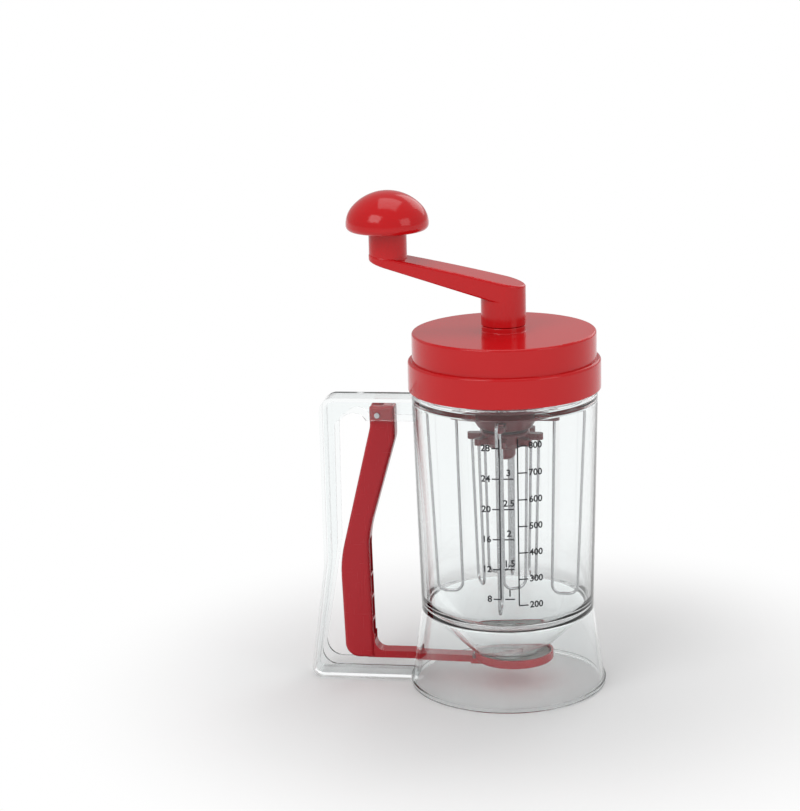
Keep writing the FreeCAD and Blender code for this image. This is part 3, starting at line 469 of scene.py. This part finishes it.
def plastic(name, tint, rough, drift=0.06, uneven=0.06, flow=45.0, relief=0.03, scratch=0.10, **sockets):
    """A moulded plastic: drifting colour, uneven gloss, flow relief and hairline scratches."""
    found = bpy.data.materials.get(name)
    if found:
        return found
    material = bpy.data.materials.new(name)
    material.use_nodes = True
    tree = material.node_tree
    shader = tree.nodes["Principled BSDF"]
    skin = add_node(tree, "ShaderNodeGroup", node_tree=moulded_skin())
    skin.inputs["Colour"].default_value = (*tint, 1)
    skin.inputs["Drift"].default_value = drift
    skin.inputs["Roughness"].default_value = rough
    skin.inputs["Uneven gloss"].default_value = uneven
    skin.inputs["Flow scale"].default_value = flow
    lines = add_node(tree, "ShaderNodeGroup", node_tree=hairlines())
    lines.inputs["Amount"].default_value = scratch
    worn = add_node(tree, "ShaderNodeMath", operation="ADD", use_clamp=True)
    tree.links.new(skin.outputs["Roughness"], worn.inputs[0])
    tree.links.new(lines.outputs["Mask"], worn.inputs[1])
    bump = add_node(tree, "ShaderNodeBump", values={"Strength": relief, "Distance": 0.0001})
    tree.links.new(skin.outputs["Relief"], bump.inputs["Height"])
    tree.links.new(skin.outputs["Colour"], shader.inputs["Base Color"])
    tree.links.new(worn.outputs[0], shader.inputs["Roughness"])
    tree.links.new(bump.outputs["Normal"], shader.inputs["Normal"])
    for socket, value in sockets.items():
        shader.inputs[socket.replace("_", " ")].default_value = value
    return material


def clear_plastic():
    """Water-clear acrylic with faint moulding waves."""
    tint = bpy.context.scene.dispenser_jug.tint
    sockets = {"Transmission_Weight": 1.0, "IOR": 1.49}
    return plastic(
        "Clear acrylic", tint, 0.012, drift=0.01, uneven=0.03, flow=30.0, relief=0.05, scratch=0.02, **sockets
    )


def red_plastic():
    """High-gloss red."""
    return plastic(
        "Glossy red plastic", bpy.context.scene.dispenser_colours.red, 0.10, uneven=0.07, relief=0.04,
        scratch=0.05, IOR=1.5, Specular_IOR_Level=0.36,
    )


def crimson_plastic():
    """Deep red of the lever."""
    return plastic(
        "Crimson plastic", bpy.context.scene.dispenser_colours.crimson, 0.20, uneven=0.08, relief=0.06,
        scratch=0.06, IOR=1.5, Specular_IOR_Level=0.4,
    )


def holder_plastic():
    """Dark red of the wire holders inside the jug."""
    return plastic(
        "Dark red plastic", bpy.context.scene.dispenser_colours.holder, 0.26, uneven=0.10, relief=0.06,
        scratch=0.08, IOR=1.5,
    )


def gear_plastic():
    """Self-lubricating off-white plastic."""
    return plastic(
        "Gear acetal", bpy.context.scene.dispenser_colours.gear, 0.42, drift=0.05, uneven=0.12, relief=0.10,
        scratch=0.06, IOR=1.48,
    )


def rubber():
    """Soft matt seal."""
    return plastic(
        "Seal rubber", bpy.context.scene.dispenser_colours.rubber, 0.62, drift=0.10, uneven=0.2, flow=160.0,
        relief=0.25, scratch=0.0, IOR=1.45,
    )


def steel():
    """Drawn stainless steel."""
    return plastic(
        "Drawn steel", bpy.context.scene.dispenser_colours.steel, 0.14, drift=0.10, uneven=0.16, flow=260.0,
        relief=0.08, scratch=0.12, Metallic=1.0,
    )


def ink():
    """Dense screen ink with a slightly broken gloss."""
    return plastic(
        "Scale ink", bpy.context.scene.dispenser_scale.ink, 0.38, drift=0.25, uneven=0.2, flow=300.0,
        relief=0.10, scratch=0.0, IOR=1.45,
    )


# Operators, one for each group of pieces


class BuildOperator:
    """What the operators share."""

    bl_options = {"REGISTER", "UNDO"}


class DISPENSER_OT_jug(BuildOperator, bpy.types.Operator):
    """Builds the clear jug with its funnel, neck thread and base"""

    bl_idname = "dispenser.jug"
    bl_label = "Build jug"

    def execute(self, context):
        s = context.scene.dispenser_jug
        seat = s.low_radius - s.skirt_wall
        slope = (s.funnel_top - s.funnel_low) / (seat - s.funnel_radius)
        lift = s.wall * math.hypot(1, slope)
        inner_low = s.low_radius - s.wall
        inner_z = s.funnel_top + lift + (inner_low - seat) * slope
        floor_z = s.funnel_low + s.wall
        floor_r = seat + (floor_z - s.funnel_top - lift) / slope
        neck = s.top_radius - s.neck_step
        rim = skirt_high.x
        bead = rim - s.rim_bead
        outline = rounded_loop([
            (s.spout_bore, jug_low.z, 0.3 * MM),
            (s.spout_radius, jug_low.z, 0.5 * MM),
            (s.spout_radius, s.funnel_low, 0.4 * MM),
            (s.funnel_radius, s.funnel_low, 5.0 * MM),
            (seat, s.funnel_top, 0.8 * MM),
            (bead - s.skirt_wall, 0, 0.5 * MM),
            (rim, 0, 0.7 * MM),
            (rim, s.bead_height, 0.7 * MM),
            (bead, s.bead_height, 0.4 * MM),
            (s.low_radius, s.funnel_top, 9.0 * MM),
            (s.top_radius, s.shoulder_height, 0.8 * MM),
            (neck, s.shoulder_height, 0.4 * MM),
            (neck, s.neck_height, 0.7 * MM),
            (neck - s.wall, s.neck_height, 0.7 * MM),
            (neck - s.wall, s.shoulder_height - s.wall, 2.0 * MM),
            (s.top_radius - s.wall, s.shoulder_height - 2.4 * s.wall, 2.0 * MM),
            (inner_low, inner_z, 14.0 * MM),
            (floor_r, floor_z, 6.0 * MM),
            (s.spout_bore, floor_z, 0.8 * MM),
        ])
        body = cut(lathe("clear_jug", outline, 256), arm_slot(s))
        piece(body, clear_plastic(), "jug", "clear_plastic", "jug_shell", "base_skirt")
        thread = ridge(
            "neck_thread", neck, s.thread_height, s.thread_width, s.thread_pitch,
            s.shoulder_height + s.thread_lift, s.thread_starts, math.radians(100),
        )
        piece(thread, clear_plastic(), "jug", "clear_plastic")
        return {"FINISHED"}


def arm_slot(s):
    """The space that the lever's arm moves in: a box along X whose upper edges are rounded."""
    half = s.slot_width / 2
    outline = rounded_loop([
        (-half, s.slot_low, 0),
        (half, s.slot_low, 0),
        (half, s.slot_high, 2.0 * MM),
        (-half, s.slot_high, 2.0 * MM),
    ])
    far, near = np.full(len(outline), -1.5 * skirt_high.x), np.full(len(outline), -0.5 * skirt_high.x)
    rings = np.stack([np.column_stack([x, outline]) for x in (far, near)])
    count = len(outline)
    faces = grid_faces(2, count, False).tolist() + [list(range(count)), list(range(count, 2 * count))]
    return mesh_from("arm_slot", rings, faces)


def cut(mesh, tool):
    """The mesh less the tool, by an exact boolean whose result is kept as a mesh."""
    solid = bpy.data.objects.new("solid", mesh)
    cutter = bpy.data.objects.new("cutter", tool)
    for obj in (solid, cutter):
        bpy.context.scene.collection.objects.link(obj)
    boolean = solid.modifiers.new("Cut", "BOOLEAN")
    boolean.operation = "DIFFERENCE"
    boolean.solver = "EXACT"
    boolean.object = cutter
    result = bpy.data.meshes.new_from_object(solid.evaluated_get(bpy.context.evaluated_depsgraph_get()))
    name = mesh.name
    for obj in (solid, cutter):
        bpy.data.objects.remove(obj)
    bpy.data.meshes.remove(mesh)
    bpy.data.meshes.remove(tool)
    result.name = name
    result.shade_smooth()
    result.set_sharp_from_angle(angle=math.radians(35))
    return result


class DISPENSER_OT_scale(BuildOperator, bpy.types.Operator):
    """Prints the raised volume scale on the jug"""

    bl_idname = "dispenser.scale"
    bl_label = "Print scale"

    def execute(self, context):
        s = context.scene.dispenser_scale
        flat, faces = [], []
        marks = [s.first_millilitres + s.millilitre_step * k for k in range(7)]
        ounces = [s.first_ounces + s.ounce_step * k for k in range(6)]
        line = s.line_width
        for number, height in enumerate(marks):
            add_bar(flat, faces, s.right_line, s.right_line + 5.0 * MM, height - line / 2, height + line / 2)
            add_text(flat, faces, str(200 + 100 * number), s.right_line + 5.8 * MM, height, s.digit_height, "LEFT")
        for number, height in enumerate(ounces):
            add_bar(flat, faces, -s.left_line - 4.0 * MM, -s.left_line, height - line / 2, height + line / 2)
            add_text(flat, faces, str(8 + 4 * number), -s.left_line - 4.8 * MM, height, s.digit_height, "RIGHT")
        for label, height in zip(("1", "1.5", "2", "2.5", "3"), ounces):
            add_text(flat, faces, label, 0.0, height + 0.9 * s.digit_height, s.digit_height, "CENTER")
            add_bar(flat, faces, -2.6 * MM, 2.6 * MM, height - line / 2, height + line / 2)
        add_bar(flat, faces, s.right_line - line / 2, s.right_line + line / 2, marks[0], marks[-1] + 4 * MM)
        add_bar(flat, faces, -s.left_line - line / 2, -s.left_line + line / 2, ounces[0], marks[-1] + 4 * MM)
        points = wrap_on_jug(np.concatenate(flat), s.azimuth, s.relief)
        piece(mesh_from("volume_scale", points, faces), ink(), "jug", "clear_plastic")
        return {"FINISHED"}


def add_bar(flat, faces, left, right, low, high):
    """A thin raised bar as a box whose depth runs from 0, in the wall, to 1, on top of the print."""
    start = sum(len(part) for part in flat)
    across = np.linspace(left, right, 2)
    up = np.linspace(low, high, 2 + int((high - low) / (4 * MM)))
    u, v, w = np.meshgrid(across, up, (0.0, 1.0), indexing="ij")
    flat.append(np.stack([u, v, w], -1).reshape(-1, 3))
    rows = len(up)

    def at(i, j, k):
        return start + (i * rows + j) * 2 + k

    for j in range(rows - 1):
        for i in range(2):
            faces.append([at(i, j, 0), at(i, j + 1, 0), at(i, j + 1, 1), at(i, j, 1)])
        for k in range(2):
            faces.append([at(0, j, k), at(1, j, k), at(1, j + 1, k), at(0, j + 1, k)])
    for j in (0, rows - 1):
        faces.append([at(0, j, 0), at(1, j, 0), at(1, j, 1), at(0, j, 1)])


def add_text(flat, faces, text, across, height, size, align):
    """A number as a raised mesh: the font's outline with a depth from 0 to 1."""
    curve = bpy.data.curves.new("number", "FONT")
    curve.body = text
    curve.size = size * 1.38
    curve.extrude = 0.5
    curve.offset = 0.035 * size
    curve.resolution_u = 4
    curve.align_x = align
    curve.align_y = "CENTER"
    holder = bpy.data.objects.new("number", curve)
    bpy.context.scene.collection.objects.link(holder)
    mesh = bpy.data.meshes.new_from_object(holder.evaluated_get(bpy.context.evaluated_depsgraph_get()))
    points = np.zeros(len(mesh.vertices) * 3, np.float32)
    mesh.vertices.foreach_get("co", points)
    points = points.reshape(-1, 3) + np.array([across, height, 0.5])
    start = sum(len(part) for part in flat)
    flat.append(points)
    faces += [[start + index for index in polygon.vertices] for polygon in mesh.polygons]
    bpy.data.objects.remove(holder)
    bpy.data.curves.remove(curve)
    bpy.data.meshes.remove(mesh)


def wrap_on_jug(flat, azimuth, relief):
    """Wraps flat (u, z, depth) points on the jug's cone: angle = u / r(z), r = wall + relief depth."""
    s = bpy.context.scene.dispenser_jug
    share = (flat[:, 1] - s.funnel_top) / (s.shoulder_height - s.funnel_top)
    wall = s.low_radius + (s.top_radius - s.low_radius) * share
    radius = wall + relief * (1.2 * flat[:, 2] - 0.2)
    angle = flat[:, 0] / wall + azimuth - math.pi / 2
    return np.stack([radius * np.cos(angle), radius * np.sin(angle), flat[:, 1]], -1)


class DISPENSER_OT_handle(BuildOperator, bpy.types.Operator):
    """Builds the clear handle frame"""

    bl_idname = "dispenser.handle"
    bl_label = "Build handle"

    def execute(self, context):
        handle = piece(
            merged_copy("handle_frame", "clear_handle"), clear_plastic(), "jug", "clear_plastic", "handle_frame"
        )
        soften(handle, 0.5 * MM)
        return {"FINISHED"}


class DISPENSER_OT_lever(BuildOperator, bpy.types.Operator):
    """Finishes the dispensing lever, its pin and spring, and the valve under the funnel"""

    bl_idname = "dispenser.lever"
    bl_label = "Build lever and valve"

    def execute(self, context):
        lever = piece(
            merged_copy("dispensing_lever", "crimson_lever"), crimson_plastic(), "lever", "crimson_plastic",
            "dispensing_lever",
        )
        soften(lever, 0.3 * MM)
        dress(crimson_plastic(), "valve_cup")
        dress(rubber(), "valve_seal")
        dress(steel(), "lever_spring", "lever_pivot_pin")
        return {"FINISHED"}


class DISPENSER_OT_lid(BuildOperator, bpy.types.Operator):
    """Finishes the screw-on lid and the drum that covers the gears"""

    bl_idname = "dispenser.lid"
    bl_label = "Build lid"

    def execute(self, context):
        s = context.scene.dispenser_jug
        dress(red_plastic(), "lid_base", "gear_cover")
        dress(rubber(), "lid_gasket")
        dress(steel(), "lid_screws")
        inside = lid_high.x - s.lid_wall
        thread = ridge(
            "lid_thread", inside, -s.lid_thread_height, s.thread_width, s.thread_pitch,
            lid_low.z + s.lid_thread_lift, s.thread_starts, math.radians(80),
        )
        piece(thread, red_plastic(), "lid", "red_plastic")
        return {"FINISHED"}


class DISPENSER_OT_gears(BuildOperator, bpy.types.Operator):
    """Finishes the gear train and its bush"""

    bl_idname = "dispenser.gears"
    bl_label = "Build gears"

    def execute(self, context):
        dress(gear_plastic(), "sun_gear", "planet_gear_1", "planet_gear_2", "planet_gear_3", "ring_gear", "crank_bush")
        return {"FINISHED"}


class DISPENSER_OT_crank(BuildOperator, bpy.types.Operator):
    """Finishes the crank, its shaft and its turning knob"""

    bl_idname = "dispenser.crank"
    bl_label = "Build crank"

    def execute(self, context):
        dress(red_plastic(), "crank_arm", "crank_knob")
        dress(steel(), "drive_shaft", "knob_pin")
        return {"FINISHED"}


class DISPENSER_OT_whisks(BuildOperator, bpy.types.Operator):
    """Builds the two wire whisks and their holders"""

    bl_idname = "dispenser.whisks"
    bl_label = "Build whisks"

    def execute(self, context):
        s = context.scene.dispenser_wires
        outer = np.array([
            (s.holder_radius, s.outer_top),
            (s.outer_top_radius, s.outer_top),
            (s.outer_low_radius, s.outer_low),
            (s.return_low_radius, s.outer_low),
            (s.return_top_radius, s.return_top),
        ])
        corners = np.stack([outer[:, 0], 0 * outer[:, 0], outer[:, 1]], -1)
        paths = []
        for number in range(s.outer_count):
            turn = np.array(Matrix.Rotation(2 * math.pi * number / s.outer_count, 3, "Z"))
            paths.append((rounded_path(corners @ turn.T, s.bend_radius), turn @ np.array([0.0, 1.0, 0.0])))
        loops = wires("outer_wire_loops", paths, s.wire_radius)
        piece(loops, steel(), "outer_whisk", "steel", "outer_whisk_wires")
        step = 2 * math.pi / s.inner_legs
        paths = []
        for first in range(0, s.inner_legs, 2):
            angles = np.array([first, first, first + 1, first + 1]) * step
            radii = np.array([s.inner_top_radius, s.inner_low_radius, s.inner_low_radius, s.inner_top_radius])
            heights = np.array([s.inner_top, s.inner_low, s.inner_low, s.inner_top])
            corners = np.stack([radii * np.cos(angles), radii * np.sin(angles), heights], -1)
            normal = unit(np.cross(corners[1] - corners[0], corners[2] - corners[1]))
            paths.append((rounded_path(corners, s.bend_radius), normal))
        loops = wires("inner_wire_loops", paths, s.wire_radius)
        piece(loops, steel(), "crank", "steel", "inner_whisk_wires")
        dress(holder_plastic(), "outer_whisk_hub", "inner_whisk_hub", "whisk_nut")
        return {"FINISHED"}


class DISPENSER_OT_stage(BuildOperator, bpy.types.Operator):
    """Sets up the floor, the lamps, the sky and the camera"""

    bl_idname = "dispenser.stage"
    bl_label = "Set up stage"

    def execute(self, context):
        s = context.scene.dispenser_stage
        make_floor()
        make_sky(context.scene)
        lamp("Key light", (-0.75, -1.15, 1.25), 0.9, 8.5 * s.light)
        lamp("Fill light", (1.35, -0.75, 0.75), 0.8, 3.5 * s.light)
        lamp("Top light", (0.0, 0.25, 1.6), 0.9, 4.5 * s.light)
        lamp("Back light", (0.5, 1.3, 0.9), 0.9, 3.0 * s.light)
        back = Vector((
            math.sin(s.azimuth) * math.cos(s.elevation),
            -math.cos(s.azimuth) * math.cos(s.elevation),
            math.sin(s.elevation),
        ))
        target = Vector((s.target_x, 0, s.target_z))
        camera = bpy.data.cameras.new("Camera")
        camera.sensor_fit = "HORIZONTAL"
        camera.sensor_width = 36.0
        camera.lens = 36.0 * s.focal_in_widths
        camera.clip_end = 20.0
        holder = bpy.data.objects.new("Camera", camera)
        aim = back.to_track_quat("Z", "Y").to_matrix().to_4x4()
        holder.matrix_world = Matrix.Translation(target + back * s.distance) @ aim @ Matrix.Rotation(s.roll, 4, "Z")
        context.scene.collection.objects.link(holder)
        context.scene.camera = holder
        context.scene.view_settings.view_transform = "Standard"
        return {"FINISHED"}


def lamp(name, place, size, power):
    """A soft square lamp that faces the middle of the jug."""
    light = bpy.data.lights.new(name, "AREA")
    light.size = size
    light.energy = power
    holder = bpy.data.objects.new(name, light)
    aim = Vector(place) - Vector((0, 0, 0.13))
    holder.matrix_world = Matrix.Translation(Vector(place)) @ aim.to_track_quat("Z", "Y").to_matrix().to_4x4()
    bpy.context.scene.collection.objects.link(holder)


def make_floor():
    """A wide pale floor that keeps the object's shadow and turns white away from it."""
    half = 6.0
    corners = np.array([(-half, -half, 0), (half, -half, 0), (half, half, 0), (-half, half, 0)], float)
    mesh = mesh_from("floor", corners - np.array([0, 0, 0.1 * MM]), [[0, 1, 2, 3]])
    floor = bpy.data.objects.new("floor", mesh)
    bpy.context.scene.collection.objects.link(floor)
    material = plastic("Pale floor", (0.94, 0.94, 0.94), 0.6, drift=0.01, uneven=0.05, relief=0.0, scratch=0.0)
    tree = material.node_tree
    shader = tree.nodes["Principled BSDF"]
    shader.inputs["Specular IOR Level"].default_value = 0.2
    place = add_node(tree, "ShaderNodeTexCoord")
    reach = add_node(tree, "ShaderNodeVectorMath", operation="LENGTH")
    far = add_node(
        tree, "ShaderNodeMapRange", interpolation_type="SMOOTHSTEP", values={"From Min": 0.09, "From Max": 0.26}
    )
    direct = add_node(tree, "ShaderNodeMath", operation="MULTIPLY")
    white = add_node(tree, "ShaderNodeEmission", values={"Color": (1, 1, 1, 1), "Strength": 1.0})
    mix = add_node(tree, "ShaderNodeMixShader")
    tree.links.new(place.outputs["Object"], reach.inputs[0])
    tree.links.new(reach.outputs["Value"], far.inputs["Value"])
    tree.links.new(far.outputs["Result"], direct.inputs[0])
    tree.links.new(seen_directly(tree), direct.inputs[1])
    tree.links.new(direct.outputs[0], mix.inputs["Fac"])
    tree.links.new(shader.outputs[0], mix.inputs[1])
    tree.links.new(white.outputs[0], mix.inputs[2])
    tree.links.new(mix.outputs[0], tree.nodes["Material Output"].inputs["Surface"])
    mesh.materials.append(material)


def seen_directly(tree):
    """A value that is 1 for camera, glossy and transmitted rays, and 0 for soft light."""
    path = add_node(tree, "ShaderNodeLightPath")
    sharp = add_node(tree, "ShaderNodeMath", operation="MAXIMUM")
    either = add_node(tree, "ShaderNodeMath", operation="MAXIMUM")
    tree.links.new(path.outputs["Is Camera Ray"], sharp.inputs[0])
    tree.links.new(path.outputs["Is Transmission Ray"], sharp.inputs[1])
    tree.links.new(sharp.outputs[0], either.inputs[0])
    tree.links.new(path.outputs["Is Glossy Ray"], either.inputs[1])
    return either.outputs[0]


def make_sky(scene):
    """Soft even light, a white that the camera and glass see, and a calmer one for reflections."""
    world = bpy.data.worlds.new("Studio")
    scene.world = world
    world.use_nodes = True
    tree = world.node_tree
    tree.nodes.clear()
    end = add_node(tree, "ShaderNodeOutputWorld")
    soft = add_node(tree, "ShaderNodeBackground", values={"Color": (1, 1, 1, 1), "Strength": 0.45})
    mirrored = add_node(tree, "ShaderNodeBackground", values={"Color": (1, 1, 1, 1), "Strength": 0.55})
    seen = add_node(tree, "ShaderNodeBackground", values={"Color": (1, 1, 1, 1), "Strength": 1.0})
    path = add_node(tree, "ShaderNodeLightPath")
    gloss = add_node(tree, "ShaderNodeMixShader")
    tree.links.new(path.outputs["Is Glossy Ray"], gloss.inputs["Fac"])
    tree.links.new(soft.outputs[0], gloss.inputs[1])
    tree.links.new(mirrored.outputs[0], gloss.inputs[2])
    sharp = add_node(tree, "ShaderNodeMath", operation="MAXIMUM")
    tree.links.new(path.outputs["Is Camera Ray"], sharp.inputs[0])
    tree.links.new(path.outputs["Is Transmission Ray"], sharp.inputs[1])
    mix = add_node(tree, "ShaderNodeMixShader")
    tree.links.new(sharp.outputs[0], mix.inputs["Fac"])
    tree.links.new(gloss.outputs[0], mix.inputs[1])
    tree.links.new(seen.outputs[0], mix.inputs[2])
    tree.links.new(mix.outputs[0], end.inputs["Surface"])


class DISPENSER_PT_panel(bpy.types.Panel):
    """The dispenser's settings and build steps in the sidebar."""

    bl_idname = "DISPENSER_PT_panel"
    bl_label = "Batter dispenser"
    bl_space_type = "VIEW_3D"
    bl_region_type = "UI"
    bl_category = "Dispenser"

    def draw(self, context):
        for name, group in SETTINGS:
            box = self.layout.box()
            box.label(text=group.__doc__)
            for field in group.__annotations__:
                box.prop(getattr(context.scene, name), field)
        for step in STEPS:
            self.layout.operator(step.bl_idname)


SETTINGS = (
    ("dispenser_jug", DispenserJugSettings),
    ("dispenser_scale", DispenserScaleSettings),
    ("dispenser_wires", DispenserWireSettings),
    ("dispenser_colours", DispenserColourSettings),
    ("dispenser_stage", DispenserStageSettings),
)

STEPS = (
    DISPENSER_OT_jug,
    DISPENSER_OT_scale,
    DISPENSER_OT_handle,
    DISPENSER_OT_lever,
    DISPENSER_OT_lid,
    DISPENSER_OT_gears,
    DISPENSER_OT_crank,
    DISPENSER_OT_whisks,
    DISPENSER_OT_stage,
)


def register():
    for name, group in SETTINGS:
        bpy.utils.register_class(group)
        setattr(bpy.types.Scene, name, PointerProperty(type=group))
    for step in (*STEPS, DISPENSER_PT_panel):
        bpy.utils.register_class(step)


def unregister():
    for step in (*STEPS, DISPENSER_PT_panel):
        bpy.utils.unregister_class(step)
    for name, group in SETTINGS:
        delattr(bpy.types.Scene, name)
        bpy.utils.unregister_class(group)


def main():
    register()
    for step in STEPS:
        group, name = step.bl_idname.split(".")
        getattr(getattr(bpy.ops, group), name)()


if __name__ == "__main__":
    main()
